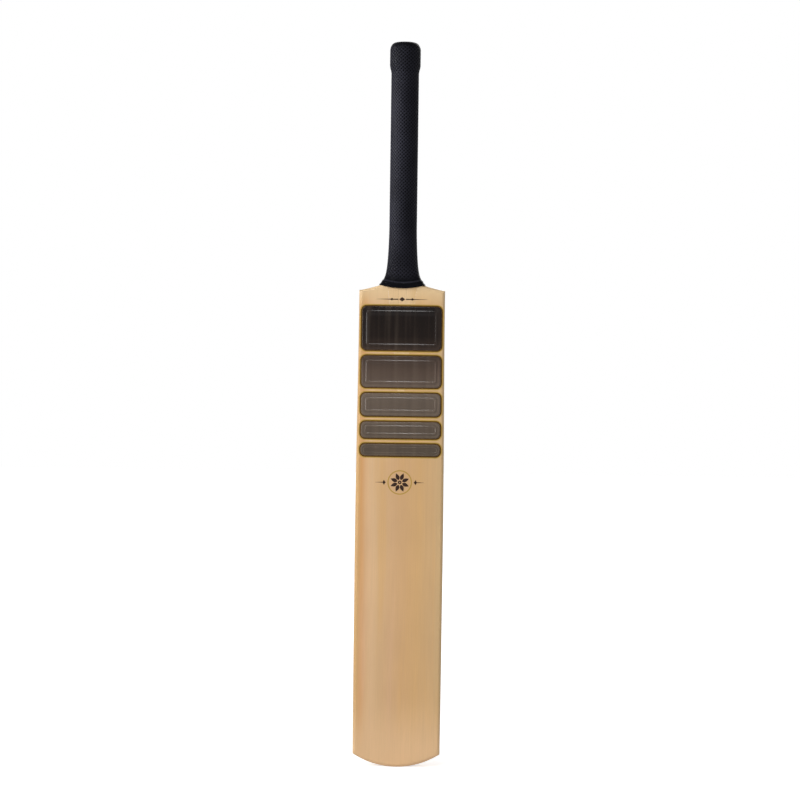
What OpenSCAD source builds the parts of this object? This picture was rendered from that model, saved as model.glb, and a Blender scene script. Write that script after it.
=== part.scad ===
// Full-size short-handle cricket bat, standing on its toe with the face towards -Y.
// The willow blade, the laminated cane handle with its rubber springs, the twine binding,
// the rubber grip and the raised face labels are separate pieces, all in millimetres.

/* [Overall] */
// Length from the toe to the top of the grip
bat_l = 850; // [740:1:1020]

/* [Blade] */
// Height of the shoulder corners above the toe
blade_l = 558; // [460:1:620]
// Greatest width of the blade
blade_w = 103.5; // [86:0.5:124]
// How much narrower the blade is across its shoulder corners
shoulder_taper = 3; // [0:0.5:8]
// How much narrower the blade is across the corners of its toe
toe_taper = 1.5; // [0:0.5:6]
// Height above the toe at which the blade is widest
widest_z = 270; // [200:5:350]
// Radius of the toe, seen from the front
toe_r = 95; // [76:1:160]
// Width of the flat at the middle of the toe
toe_flat_w = 10; // [6:1:20]
// Thickness at the spine where the blade swells most
swell_t = 58; // [48:0.5:70]
// Height of the swell above the toe
swell_z = 205; // [150:5:280]
// Thickness at the spine at the toe
toe_t = 31; // [26:0.5:38]
// Thickness at the spine at the shoulder
shoulder_t = 33; // [30:0.5:40]
// Thickness of the edges at the swell
edge_t = 36; // [28:0.5:44]
// Thickness of the edges at the toe
toe_edge_t = 25; // [22:0.5:32]
// Thickness of the edges at the shoulder
shoulder_edge_t = 23; // [20:0.5:30]
// How far the middle of the face lies behind its two ends
bow = 4; // [0:0.5:8]
// How far the face's long edges lie behind its middle line
face_crown = 1; // [0:0.1:2]
// Rounding of the face's edges
face_r = 4; // [2:0.5:6]
// Rounding of the back's edges
back_r = 9; // [4:0.5:10]
// Sharpness of the spine, from a broad hump to a narrow ridge
ridge_p = 1.2; // [0.8:0.1:2]

/* [Shoulder and neck] */
// Height from the shoulder corners to the foot of the neck
shoulder_rise = 6; // [4:0.5:10]
// Hollow of the shoulder line, 1 for a straight slope
shoulder_p = 0.8; // [0.6:0.05:1]
// Width of the willow at the foot of the neck
neck_w = 51.5; // [43:0.5:62]
// Height over which the neck draws in to the round handle
neck_h = 76; // [60:1:90]
// How much wider than the handle the neck is before its foot flares out
neck_taper = 8.8; // [4:0.2:10]
// Height of the flare at the neck's foot
flare_h = 36; // [28:1:46]
// How fast the flare draws in
flare_p = 4.6; // [3:0.1:6]

/* [Cane handle] */
// Diameter of the bare handle
handle_d = 27; // [22:0.5:33]
// Thickness of each rubber spring between the slabs of cane
spring_t = 1.5; // [1:0.1:2.5]
// Glue line between neighbouring pieces of the handle
glue_line = 0.1; // [0.05:0.05:0.3]

/* [Splice] */
// Depth of the splice below the shoulder corners
splice_l = 132; // [100:1:160]
// How much wider than the handle the splice is at the shoulder corners
splice_flare = 6; // [3:0.5:9]
// Width of the splice's blunt tip
splice_tip_w = 4; // [3:0.5:6]
// How much wider than the handle the splice is at the neck's top, so that it takes the whole stem
splice_over_w = 2; // [1:0.5:3]

/* [Binding and grip] */
// Thickness of the twine binding
binding_t = 0.8; // [0.5:0.1:1.5]
// Bare length of handle above the binding
binding_bare = 6; // [3:0.5:12]
// Clearance between the handle, its binding and the grip
sleeve_gap = 0.05; // [0.05:0.05:0.2]
// Wall of the grip over the binding
grip_wall = 1.55; // [1.2:0.05:2.5]
// Depth of the step from the cuff down to the grip's wall
cuff_step = 1.8; // [1:0.1:3]
// Length of the cuff's straight band
cuff_l = 16; // [10:0.5:24]
// Height of the soft slope below the cuff's band
cuff_slope = 10.5; // [6:0.5:16]
// Width of the rounding at the grip's top
cap_round_w = 8.5; // [4:0.5:9]
// Height of the rounding at the grip's top
cap_round_h = 10.5; // [5:0.5:12]
// Thickness of the lip that laps over the handle's end
cap_t = 2.5; // [1.5:0.1:4]
// Diameter of the opening in the lip
cap_hole_d = 16; // [8:0.5:20]
// Wall of the collar where it laps the neck
collar_wall = 2.1; // [1.6:0.1:3]
// Clearance between the collar and the neck
collar_gap = 0.35; // [0.2:0.05:0.5]
// How far the collar's rim dips at the middle of the face and back
rim_dip = 4; // [0:0.5:6]
// Height of the moulded bead above the rim
bead_z = 5; // [4:0.5:8]
// Width of the moulded bead
bead_w = 3; // [2:0.5:4]
// How far the bead stands proud
bead_h = 0.6; // [0.3:0.1:1]
// Easing of the rim's outer edge
rim_ease = 0.8; // [0.4:0.1:1.2]

/* [Face labels] */
// Number of raised labels
label_count = 5; // [3:1:7]
// Distance from the blade's long sides to a label, where the blade is widest
label_margin = 5.25; // [3:0.25:15]
// Height of the tallest label, at the top
label_h = 51; // [40:1:60]
// Height of each label as a share of the one above it
label_ratio = 0.72; // [0.6:0.02:0.9]
// Space between labels
label_space = 7; // [4:0.5:12]
// Distance from the shoulder corners to the first label
label_drop = 19; // [12:1:40]
// Rounding of a label's corners
label_r = 5.5; // [3:0.5:6]
// Thickness of a label's flat field
label_t = 0.8; // [0.5:0.1:1.2]
// Height of a label's upright border
label_border_t = 0.5; // [0.3:0.1:0.8]
// Distance from a label's border to the top of its rounded rim
label_rim_w = 2; // [1:0.25:2.5]
// Distance from the top of the rim to the raised line inside it
label_line_in = 4; // [3:0.25:5]
// Width of the raised line
label_line_w = 3; // [2:0.25:4]
// How far the rim and the raised line stand above the field
label_line_h = 0.5; // [0.2:0.1:0.8]
// Adhesive layer between the face and a label
label_glue = 0.05; // [0.05:0.05:0.2]

/* [Hidden] */
$fn = 96;

// Points across the face, and again across the back, of each section
half_points = 24;
// The angle at which a section's face and back stop, just short of its sides
side_angle = 88;
section_angles = [for (i = [0 : half_points]) side_angle * (2 * i / half_points - 1)];
// Steps round each corner of a label and along its straight edges
label_corner_steps = 3;
label_edge_steps = 6;
// Least rounding of a label's inner outlines, and the largest as a share of half their height
label_inner_r = 1;
label_round = 0.8;
// Angles across the handle's wedge, which is narrow
wedge_points = 6;
wedge_angles = [for (i = [0 : wedge_points]) side_angle * (2 * i / wedge_points - 1)];
// The neck's top ring stops this far inside the round stem
stem_step = 0.2;
// The collar's top ring stops this far inside the grip's round wall
wall_step = 0.05;

// Widths that follow the blade and the handle
shoulder_w = blade_w - shoulder_taper;
toe_w = blade_w - toe_taper;
splice_w = handle_d + splice_flare;
label_w = blade_w - 2 * label_margin;

// Heights
neck_z = blade_l + shoulder_rise;
handle_z = neck_z + neck_h;
tip_z = blade_l - splice_l;
handle_top = bat_l - cap_t - sleeve_gap;

// Radii about the handle's axis
handle_r = handle_d / 2;
stem_r = handle_r - stem_step;
binding_in = handle_r + sleeve_gap;
binding_out = binding_in + binding_t;
grip_in = binding_out + sleeve_gap;
grip_r = grip_in + grip_wall;
cuff_r = grip_r + cuff_step;

// The handle's axis lies in the middle of the shoulder
handle_y = shoulder_t / 2;

// Slabs of cane from front to back, each of three slips side by side
slab_names = ["front", "midfront", "midback", "back"];
slip_names = ["left", "middle", "right"];
spring_names = ["front", "middle", "back"];
slab_count = len(slab_names);
slip_count = len(slip_names);
spring_count = len(spring_names);
slab_t = (handle_d - spring_count * spring_t) / slab_count;
slab_pitch = slab_t + spring_t;
slip_w = handle_d / slip_count;
// A length that clears the whole bat sideways
beyond = blade_w;

function mix(a, b, t) = a + (b - a) * t;
function ease(t) = (1 - cos(180 * t)) / 2;
function rounding(depth, r) = depth >= r ? 0 : r - sqrt(r * r - pow(r - max(depth, 0), 2));

// Lengthwise curves of the blade
function along(z, at_toe, at_swell, at_shoulder) =
    z < swell_z
    ? mix(at_toe, at_swell, sin(90 * z / swell_z))
    : mix(at_swell, at_shoulder, ease((min(z, blade_l) - swell_z) / (blade_l - swell_z)));
function spine_at(z) = along(z, toe_t, swell_t, shoulder_t);
function edge_at(z) = along(z, toe_edge_t, edge_t, shoulder_edge_t);
function bow_at(z) = bow * (1 - pow(2 * min(z, blade_l) / blade_l - 1, 2));

// Front outline: the toe's arc, the long sides, the shoulders and the neck
toe_centre = sqrt(toe_r * toe_r - pow(toe_flat_w / 2, 2));
toe_side_z = toe_centre - sqrt(toe_r * toe_r - toe_w * toe_w / 4);
function toe_z(x) = toe_centre - sqrt(toe_r * toe_r - x * x);
function toe_half(z) = sqrt(toe_r * toe_r - pow(toe_centre - z, 2));
function lower_share(z) = (widest_z - max(z, toe_side_z)) / (widest_z - toe_side_z);
function upper_share(z) = (min(z, blade_l) - widest_z) / (blade_l - widest_z);
function side_half(z) =
    z < widest_z
    ? mix(blade_w, toe_w, pow(lower_share(z), 2)) / 2
    : mix(blade_w, shoulder_w, ease(upper_share(z))) / 2;
function shoulder_half(z) = mix(shoulder_w, neck_w, pow((z - blade_l) / shoulder_rise, shoulder_p)) / 2;
neck_flare = neck_w / 2 - stem_r - neck_taper / 2;
function flare_share(z) = max(0, 1 - (z - neck_z) / flare_h);
function neck_half(z) =
    stem_r
    + neck_taper / 2 * pow(1 - (z - neck_z) / neck_h, 2)
    + neck_flare * pow(flare_share(z), flare_p);
function half_at(z) =
    z < toe_side_z ? toe_half(z)
    : z <= blade_l ? side_half(z)
    : z < neck_z ? shoulder_half(z)
    : neck_half(z);

// Distance from a point of the face to the nearest part of the front outline
function shoulder_share(x) = max(0, (shoulder_w - 2 * x) / (shoulder_w - neck_w));
function shoulder_z(x) = blade_l + shoulder_rise * pow(shoulder_share(x), 1 / shoulder_p);
function shoulder_depth(x, z) =
    x >= neck_w / 2 ? shoulder_z(x) - z : norm([neck_w / 2 - x, neck_z - z]);
function toe_depth(x, z) = z < toe_centre ? toe_r - norm([x, toe_centre - z]) : toe_r;
function blade_depth(x, z) = min(side_half(z) - x, toe_depth(x, z), shoulder_depth(x, z));
function outline_depth(x, z) = z <= neck_z ? blade_depth(abs(x), z) : half_at(z) - abs(x);

// The willow's face and back
function ridge_at(x) = pow((1 + cos(180 * min(1, abs(x) / (blade_w / 2)))) / 2, ridge_p);
function face_plain(x, z) = bow_at(z) + face_crown * pow(x / (blade_w / 2), 2);
function face_at(x, z) = face_plain(x, z) + rounding(outline_depth(x, z), face_r);
function back_at(x, z) =
    bow_at(z) + mix(edge_at(z), spine_at(z), ridge_at(x)) - rounding(outline_depth(x, z), back_r);

// The neck turns from the blade's section at its foot to a round one above its flare
function neck_share(z) = z <= neck_z ? 0 : 1 - pow(flare_share(z), 2);
function front_y(x, z, a) = mix(face_at(x, z), handle_y - stem_r * cos(a), neck_share(z));
function rear_y(x, z, a) = mix(back_at(x, z), handle_y + stem_r * cos(a), neck_share(z));

// One level section: along the face from left to right, then along the back
function section(z) =
    let (half = half_at(z))
    concat(
        [for (a = section_angles) let (x = half * sin(a) / sin(side_angle)) [x, front_y(x, z, a), z]],
        [for (a = -section_angles) let (x = half * sin(a) / sin(side_angle)) [x, rear_y(x, z, a), z]]
    );

// Half width of the splice, and the level section of the handle's wedge that fills it
function splice_half(z) =
    z < blade_l
    ? mix(splice_tip_w, splice_w, (z - tip_z) / splice_l) / 2
    : mix(splice_w, handle_d + splice_over_w, (z - blade_l) / (handle_z - blade_l)) / 2;
function wedge_row(z, angles, side) =
    let (
        half = half_at(z),
        wedge = min(half, splice_half(z))
    )
    [
        for (b = angles)
        let (
            x = wedge * sin(b) / sin(side_angle),
            a = asin(x / half * sin(side_angle))
        )
        [x, side < 0 ? front_y(x, z, a) : rear_y(x, z, a), z]
    ];
function wedge_section(z) = concat(wedge_row(z, wedge_angles, -1), wedge_row(z, -wedge_angles, 1));

// Heights of the sections
toe_steps = 10;
lower_steps = 11;
upper_steps = 5;
shoulder_steps = 6;
neck_steps = 10;
toe_levels = [
    for (i = [0 : toe_steps - 1]) toe_z(mix(toe_flat_w / 2, toe_w / 2, i / toe_steps))
];
lower_levels = [for (i = [0 : lower_steps - 1]) mix(toe_side_z, tip_z, i / lower_steps)];
upper_levels = [for (i = [0 : upper_steps - 1]) mix(tip_z, blade_l - face_r, i / upper_steps)];
edge_levels = [for (share = [1, 0.5, 0.15]) blade_l - face_r * share];
shoulder_levels = [for (i = [0 : shoulder_steps - 1]) mix(blade_l, neck_z, i / shoulder_steps)];
neck_levels = [for (i = [0 : neck_steps]) mix(neck_z, handle_z, pow(i / neck_steps, 1.9))];
blade_levels = concat(toe_levels, lower_levels, upper_levels, edge_levels, shoulder_levels, neck_levels);
wedge_levels = concat(upper_levels, [blade_l], [for (i = [0, 2, 3, 4, 5, 6, 8, 10]) neck_levels[i]]);

// A solid through rings of equal length, each listed as two facing runs of points.
// A loop of rings closes on itself, and any other stack gets a cap at each end.
module loft(rings, loop = false) {
    n = len(rings[0]);
    count = len(rings);
    spans = loop ? count : count - 1;
    sides = [
        for (j = [0 : spans - 1])
        for (i = [0 : n - 1])
        let (
            k = (i + 1) % n,
            low = j * n,
            high = ((j + 1) % count) * n
        )
        each [[low + i, high + i, high + k], [low + i, high + k, low + k]]
    ];
    top = (count - 1) * n;
    caps = [
        for (i = [0 : n / 2 - 2])
        let (
            near = [i, i + 1],
            far = [n - 2 - i, n - 1 - i]
        )
        each [
            [near[0], near[1], far[0]],
            [near[0], far[0], far[1]],
            [top + near[0], top + far[0], top + near[1]],
            [top + near[0], top + far[1], top + far[0]]
        ]
    ];
    polyhedron([for (ring = rings) each ring], loop ? sides : concat(sides, caps), 4);
}

// Outer surface of the collar: its offset from the willow at a height above the rim
function bump(t) = abs(t) >= 1 ? 0 : 1 - t * t;
function collar_offset(rise) =
    collar_gap + collar_wall + bead_h * bump((rise - bead_z) / (bead_w / 2));
// The rim dips at the middle of the face and of the back
function rim_at(a) = neck_z + collar_gap - rim_dip * pow(cos(a), 2);
// A point of the collar at a share of its height, offset from the willow below it
function collar_point(a, share, offset, side) =
    let (
        z = mix(rim_at(a), handle_z, share),
        x = half_at(max(z, neck_z)) * sin(a) / sin(side_angle),
        y = side < 0 ? front_y(x, z, a) : rear_y(x, z, a)
    )
    [x + offset * sin(a), y + side * offset * cos(a), z];
function collar_ring(share, offset) = concat(
    [for (a = section_angles) collar_point(a, share, offset, -1)],
    [for (a = -section_angles) collar_point(a, share, offset, 1)]
);
// The collar's rings rise by these shares of its height, closely spaced at the rim and the bead
rim_shares = [0, rim_ease / neck_h, 2 * rim_ease / neck_h];
bead_shares = [for (i = [-1 : 0.5 : 1]) (bead_z + i * bead_w / 2) / neck_h];
flare_steps = 8;
bead_top = (bead_z + bead_w / 2) / neck_h;
flare_shares = [for (i = [1 : flare_steps]) mix(bead_top, 1, pow(i / flare_steps, 1.6))];
collar_shares = concat(rim_shares, bead_shares, flare_shares);
// The rim's outer edge is eased, and the top ring meets the grip's round wall
function outer_offset(share) =
    share == 0 ? collar_gap + collar_wall - rim_ease
    : mix(collar_offset(share * neck_h), grip_r - wall_step - stem_r, pow(share, 3));
outer_collar = [for (share = collar_shares) collar_ring(share, outer_offset(share))];
// The inside is plain behind the bead, so it needs fewer rings there
behind_shares = [for (i = [-1 : 1]) (bead_z + i * bead_w / 2) / neck_h];
inner_shares = concat(rim_shares, behind_shares, flare_shares);
inner_collar = [for (i = [len(inner_shares) - 1 : -1 : 0]) collar_ring(inner_shares[i], collar_gap)];

// The bat is centred front to back between the front of the collar or the cuff and the spine
collar_front = min([for (ring = outer_collar) for (p = ring) p[1]]);
front_most = min(collar_front, handle_y - cuff_r);
rear_most = max([for (z = blade_levels) back_at(0, z)]);
depth_middle = (front_most + rear_most) / 2;
module in_frame() {
    translate([0, -depth_middle, 0]) children();
}

// The slot for the splice, seen from the front, a glue line wider than the wedge
slot_levels = [tip_z, blade_l, handle_z];
slot_right = [for (z = slot_levels) [splice_half(z) + glue_line, z == tip_z ? z - glue_line : z]];
slot_outline = concat(slot_right, [for (i = [2 : -1 : 0]) [-slot_right[i][0], slot_right[i][1]]]);
module splice_slot() {
    translate([0, beyond, 0])
        rotate([90, 0, 0])
            linear_extrude(2 * beyond)
                polygon(slot_outline);
}

// The willow blade with its shoulders, half of the neck and the slot for the splice
module blade() {
    color("burlywood")
        in_frame()
            difference() {
                loft([for (z = blade_levels) section(z)]);
                splice_slot();
            }
}

// The whole handle before it is divided: a round stem on a wedge that fills the splice
module handle_blank() {
    translate([0, handle_y, handle_z])
        cylinder(r = handle_r, h = handle_top - handle_z);
    loft([for (z = wedge_levels) wedge_section(z)]);
}

// The part of the handle between two side planes and two planes parallel to the face
module handle_slice(x0, x1, y0, y1) {
    in_frame()
        intersection() {
            handle_blank();
            translate([x0, y0, tip_z - 1])
                cube([x1 - x0, y1 - y0, handle_top - tip_z + 2]);
        }
}

// Middle plane of a rubber spring, counted from the front
function spring_y(i) = handle_y + (i - (spring_count - 1) / 2) * slab_pitch;

// One slip of cane, by its slab from the front and its place from the left
module cane_slip(slab, slip) {
    shy = glue_line / 2;
    x0 = slip == 0 ? -beyond : (slip - 1.5) * slip_w + shy;
    x1 = slip == slip_count - 1 ? beyond : (slip - 0.5) * slip_w - shy;
    y0 = slab == 0 ? -beyond : spring_y(slab - 1) + spring_t / 2 + shy;
    y1 = slab == slab_count - 1 ? beyond : spring_y(slab) - spring_t / 2 - shy;
    color("wheat")
        handle_slice(x0, x1, y0, y1);
}

// One rubber spring, as wide as the handle and as long as the cane
module rubber_spring(i) {
    shy = glue_line / 2;
    color("dimgray")
        handle_slice(-beyond, beyond, spring_y(i) - spring_t / 2 + shy, spring_y(i) + spring_t / 2 - shy);
}

// Twine wound round the stem, as one thin sleeve
module handle_binding() {
    color("saddlebrown")
        in_frame()
            translate([0, handle_y, 0])
                rotate_extrude()
                    translate([binding_in, handle_z + collar_gap])
                        square([binding_t, handle_top - binding_bare - handle_z - collar_gap]);
}

// Profile of the grip's straight tube, its cuff and the lip over the handle's end
slope_steps = 8;
cuff_top = bat_l - cap_round_h;
cuff_foot = cuff_top - cuff_l;
function cuff_slope_point(t) = [mix(grip_r, cuff_r, ease(t)), mix(cuff_foot - cuff_slope, cuff_foot, t)];
function cap_round_point(a) = [
    cuff_r - cap_round_w * (1 - cos(a)),
    cuff_top + cap_round_h * sin(a)
];
grip_profile = concat(
    [[grip_in, handle_z], [grip_r, handle_z]],
    [for (i = [0 : slope_steps]) cuff_slope_point(i / slope_steps)],
    [for (i = [0 : slope_steps]) cap_round_point(90 * i / slope_steps)],
    [
        [cap_hole_d / 2, bat_l],
        [cap_hole_d / 2, handle_top + sleeve_gap],
        [grip_in, handle_top + sleeve_gap]
    ]
);

// The rubber grip: a round tube with a cuff at the top and a collar that laps the neck
module grip() {
    color("black")
        in_frame() {
            translate([0, handle_y, 0])
                rotate_extrude()
                    polygon(grip_profile);
            loft(concat(outer_collar, inner_collar), loop = true);
        }
}

// Face labels from the top down, each lower than the one above it
function label_height(i) = label_h * pow(label_ratio, i);
function label_top(i) = i == 0 ? blade_l - label_drop : label_top(i - 1) - label_height(i - 1) - label_space;
// One outline of a label at a distance in from its border and above the face
function label_ring(i, inward, above) =
    let (
        half_w = label_w / 2 - inward,
        half_h = label_height(i) / 2 - inward,
        r = min(max(label_r - inward / 2, label_inner_r), label_round * half_h),
        middle = label_top(i) - label_height(i) / 2,
        corner = [for (j = [0 : label_corner_steps]) half_w - r * (1 - cos(90 * j / label_corner_steps))],
        edge = [for (j = [1 : label_edge_steps - 1]) (half_w - r) * (2 * j / label_edge_steps - 1)],
        across = concat(-corner, edge, [for (j = [label_corner_steps : -1 : 0]) corner[j]])
    )
    concat(
        [for (x = across) label_point(x, middle - half_h + rounding(half_w - abs(x), r), above)],
        [for (x = -across) label_point(x, middle + half_h - rounding(half_w - abs(x), r), above)]
    );
function label_point(x, z, above) = [x, face_plain(x, z) - label_glue - above, z];

// A label's relief: distance in from the border and height above the face
label_line = label_rim_w + label_line_in;
label_relief = [
    [0, 0],
    [0, label_border_t],
    [label_rim_w, label_t + label_line_h],
    [label_line - label_line_w / 2, label_t],
    [label_line, label_t + label_line_h],
    [label_line + label_line_w / 2, label_t]
];
label_relief_w = label_relief[len(label_relief) - 1][0];

// One raised label: an upright border, a rounded rim, a raised line inside it and a flat field.
// On a low label the relief is drawn in to a third of the label's height.
module face_label(i) {
    share = min(1, label_height(i) / 3 / label_relief_w);
    color(i < 2 ? "#2a211c" : "#6a5d53")
        in_frame()
            loft([for (p = label_relief) label_ring(i, p[0] * share, p[1])]);
}

function cane_name(slab, slip) = str("cane_", slab_names[slab], "_", slip_names[slip]);
function spring_name(i) = str("rubber_spring_", spring_names[i]);
function label_name(i) = str("face_label_", i + 1);

blade();
for (i = [0 : slab_count - 1])
    for (j = [0 : slip_count - 1])
        cane_slip(i, j);
for (i = [0 : spring_count - 1])
    rubber_spring(i);
handle_binding();
grip();
for (i = [0 : label_count - 1])
    face_label(i);
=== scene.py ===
"""Looks of a cricket bat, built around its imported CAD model.

The willow blade, the rubber grip and the raised labels are rebuilt as finer meshes on the same sizes
and formulas as the CAD pieces, with a slightly squarer top on the grip. The cane, its springs and the
binding keep their CAD meshes.
All lengths are in metres and all angles in radians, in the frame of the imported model:
+Z runs from the toe to the handle, and the face looks towards -Y.
"""

import math

import bmesh
import bpy
import numpy as np
from mathutils import Matrix, Vector


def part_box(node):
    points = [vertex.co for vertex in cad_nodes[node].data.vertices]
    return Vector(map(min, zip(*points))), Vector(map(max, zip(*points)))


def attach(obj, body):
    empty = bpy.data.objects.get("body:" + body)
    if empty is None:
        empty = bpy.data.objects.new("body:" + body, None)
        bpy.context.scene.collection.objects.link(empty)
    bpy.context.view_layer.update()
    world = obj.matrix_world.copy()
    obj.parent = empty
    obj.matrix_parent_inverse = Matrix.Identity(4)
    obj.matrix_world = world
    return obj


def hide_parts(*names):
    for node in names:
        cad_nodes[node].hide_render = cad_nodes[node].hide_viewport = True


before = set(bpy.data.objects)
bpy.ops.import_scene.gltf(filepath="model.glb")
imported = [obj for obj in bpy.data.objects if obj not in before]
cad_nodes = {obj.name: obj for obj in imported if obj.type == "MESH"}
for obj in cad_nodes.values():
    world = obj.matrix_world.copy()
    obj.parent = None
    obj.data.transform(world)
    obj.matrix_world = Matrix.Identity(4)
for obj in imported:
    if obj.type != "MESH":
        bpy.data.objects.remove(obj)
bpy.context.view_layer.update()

# Sizes read from the frame
label_names = sorted(name for name in cad_nodes if name.startswith("face_label_"))
BLADE_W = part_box("blade")[1].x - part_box("blade")[0].x
BAT_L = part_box("grip")[1].z
AXIS_Y = (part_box("handle_binding")[0].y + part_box("handle_binding")[1].y) / 2

# Blade
BLADE_L = 0.558
SHOULDER_W = BLADE_W - 0.003
TOE_W = BLADE_W - 0.0015
WIDEST_Z = 0.270
TOE_R = 0.095
TOE_FLAT_W = 0.010
SWELL_Z = 0.205
SPINE_T = (0.031, 0.058, 0.033)
EDGE_T = (0.025, 0.036, 0.023)
BOW = 0.004
FACE_CROWN = 0.001
FACE_R = 0.004
BACK_R = 0.009
RIDGE_POWER = 1.2

# Shoulder, neck and splice
SHOULDER_RISE = 0.006
SHOULDER_POWER = 0.8
NECK_W = 0.0515
NECK_H = 0.076
NECK_TAPER = 0.0088
FLARE_H = 0.036
FLARE_POWER = 4.6
STEM_R = 0.0133
GLUE_LINE = 0.0001
SPLICE_L = 0.132
SPLICE_HALF = (0.002, 0.0165, 0.0145)
NECK_Z = BLADE_L + SHOULDER_RISE
HANDLE_Z = NECK_Z + NECK_H
TIP_Z = BLADE_L - SPLICE_L
# The face's two ends lie on the plane that is half the shoulder's thickness in front of the handle's axis
FACE_Y = AXIS_Y - SPINE_T[2] / 2

# Grip
BORE_R = 0.0144
GRIP_R = 0.01595
CUFF_R = 0.01775
CUFF_L = 0.016
CUFF_SLOPE = 0.0105
CAP_ROUND_W = 0.0085
CAP_ROUND_H = 0.0105
CAP_POWER = 2.6
CAP_T = 0.0025
CAP_HOLE_R = 0.008
COLLAR_GAP = 0.00035
COLLAR_WALL = 0.0021
RIM_DIP = 0.004
RIM_EASE = 0.0008
BEAD_RISE = 0.005
BEAD_W = 0.003
BEAD_H = 0.0006
TEXTURE_CELLS = 24
TEXTURE_DEPTH = 0.0008
PLAIN_RAISED = 0.3
POINTS_PER_CELL = 6

# Labels
LABEL_R = 0.0055
LABEL_INNER_R = 0.001
LABEL_ROUND = 0.8
LABEL_T = 0.0008
LABEL_BORDER_T = 0.0005
LABEL_RIM_W = 0.002
LABEL_LINE_IN = 0.004
LABEL_LINE_W = 0.003
LABEL_LINE_H = 0.0005
LABEL_CREST = 0.2
LABEL_GLUE = 0.00005
OUTLINE_W = 0.0015
KEYLINE_W = 0.0026
PRINT_T = 0.00008

# The section's face and back stop just short of its sides
SIDE_ANGLE = math.radians(88)

# Edges sharper than these angles stay sharp
SMOOTH_ANGLE = math.radians(35)
GRIP_SMOOTH_ANGLE = math.radians(60)
LABEL_SMOOTH_ANGLE = math.radians(50)
CAD_SPLIT_ANGLE = math.radians(25)

# Points of a CAD mesh that lie closer together than this are welded
CAD_WELD = GLUE_LINE / 20


def mix(a, b, t):
    return a + (b - a) * t


def ease(t):
    return (1 - math.cos(math.pi * t)) / 2


def rounding(depth, r):
    """How far a rounded edge of radius r falls away at a depth in from its border."""
    return 0.0 if depth >= r else r - math.sqrt(r * r - (r - max(depth, 0.0)) ** 2)


def spaced(start, end, count):
    """count values from start, evenly spaced, that stop one step short of end."""
    return [mix(start, end, i / count) for i in range(count)]


# Lengthwise curves of the blade


def along(z, sizes):
    at_toe, at_swell, at_shoulder = sizes
    if z < SWELL_Z:
        return mix(at_toe, at_swell, math.sin(math.pi / 2 * z / SWELL_Z))
    return mix(at_swell, at_shoulder, ease((min(z, BLADE_L) - SWELL_Z) / (BLADE_L - SWELL_Z)))


def bow_at(z):
    return BOW * (1 - (2 * min(z, BLADE_L) / BLADE_L - 1) ** 2)


# Front outline: the toe's arc, the long sides, the shoulders and the neck

TOE_CENTRE = math.sqrt(TOE_R**2 - TOE_FLAT_W**2 / 4)
TOE_SIDE_Z = TOE_CENTRE - math.sqrt(TOE_R**2 - TOE_W**2 / 4)
NECK_FLARE = NECK_W / 2 - STEM_R - NECK_TAPER / 2


def toe_z(x):
    return TOE_CENTRE - math.sqrt(TOE_R**2 - x * x)


def side_half(z):
    if z < WIDEST_Z:
        share = (WIDEST_Z - max(z, TOE_SIDE_Z)) / (WIDEST_Z - TOE_SIDE_Z)
        return mix(BLADE_W, TOE_W, share**2) / 2
    return mix(BLADE_W, SHOULDER_W, ease((min(z, BLADE_L) - WIDEST_Z) / (BLADE_L - WIDEST_Z))) / 2


def flare_share(z):
    return max(0.0, 1 - (z - NECK_Z) / FLARE_H)


def shoulder_z(x):
    share = max(0.0, (SHOULDER_W - 2 * x) / (SHOULDER_W - NECK_W))
    return BLADE_L + SHOULDER_RISE * share ** (1 / SHOULDER_POWER)


def half_at(z):
    if z < TOE_SIDE_Z:
        return math.sqrt(TOE_R**2 - (TOE_CENTRE - z) ** 2)
    if z <= BLADE_L:
        return side_half(z)
    if z < NECK_Z:
        return mix(SHOULDER_W, NECK_W, ((z - BLADE_L) / SHOULDER_RISE) ** SHOULDER_POWER) / 2
    taper = NECK_TAPER / 2 * max(0.0, 1 - (z - NECK_Z) / NECK_H) ** 2
    return STEM_R + taper + NECK_FLARE * flare_share(z) ** FLARE_POWER


def outline_depth(x, z):
    """Distance from a point of the face to the nearest part of the front outline."""
    x = abs(x)
    if z > NECK_Z:
        return half_at(z) - x
    to_toe = TOE_R - math.hypot(x, TOE_CENTRE - z) if z < TOE_CENTRE else TOE_R
    at_side = x >= NECK_W / 2
    to_shoulder = shoulder_z(x) - z if at_side else math.hypot(NECK_W / 2 - x, NECK_Z - z)
    return min(side_half(z) - x, to_toe, to_shoulder)


# The willow's face and back, and the neck that turns into a round stem


def face_plain(x, z):
    return FACE_Y + bow_at(z) + FACE_CROWN * (x / (BLADE_W / 2)) ** 2


def face_at(x, z):
    return face_plain(x, z) + rounding(outline_depth(x, z), FACE_R)


def back_at(x, z):
    ridge = ((1 + math.cos(math.pi * min(1.0, abs(x) / (BLADE_W / 2)))) / 2) ** RIDGE_POWER
    thickness = mix(along(z, EDGE_T), along(z, SPINE_T), ridge)
    return FACE_Y + bow_at(z) + thickness - rounding(outline_depth(x, z), BACK_R)


def surface_y(x, z, side):
    """Depth of the willow's surface: side -1 is the face and 1 is the back."""
    flat = face_at(x, z) if side < 0 else back_at(x, z)
    if z <= NECK_Z:
        return flat
    share = 1 - flare_share(z) ** 2
    sine = max(-1.0, min(1.0, x / half_at(z) * math.sin(SIDE_ANGLE)))
    return mix(flat, AXIS_Y + side * STEM_R * math.sqrt(1 - sine * sine), share)


def slot_half(z):
    """Half width of the splice's slot. Below the slot's floor it stays as narrow as the floor."""
    at_tip, at_shoulder, at_top = SPLICE_HALF
    if z < BLADE_L:
        return mix(at_tip, at_shoulder, max(0.0, z - TIP_Z) / SPLICE_L) + GLUE_LINE
    return mix(at_shoulder, at_top, (z - BLADE_L) / (HANDLE_Z - BLADE_L)) + GLUE_LINE


# Making pieces


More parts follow.
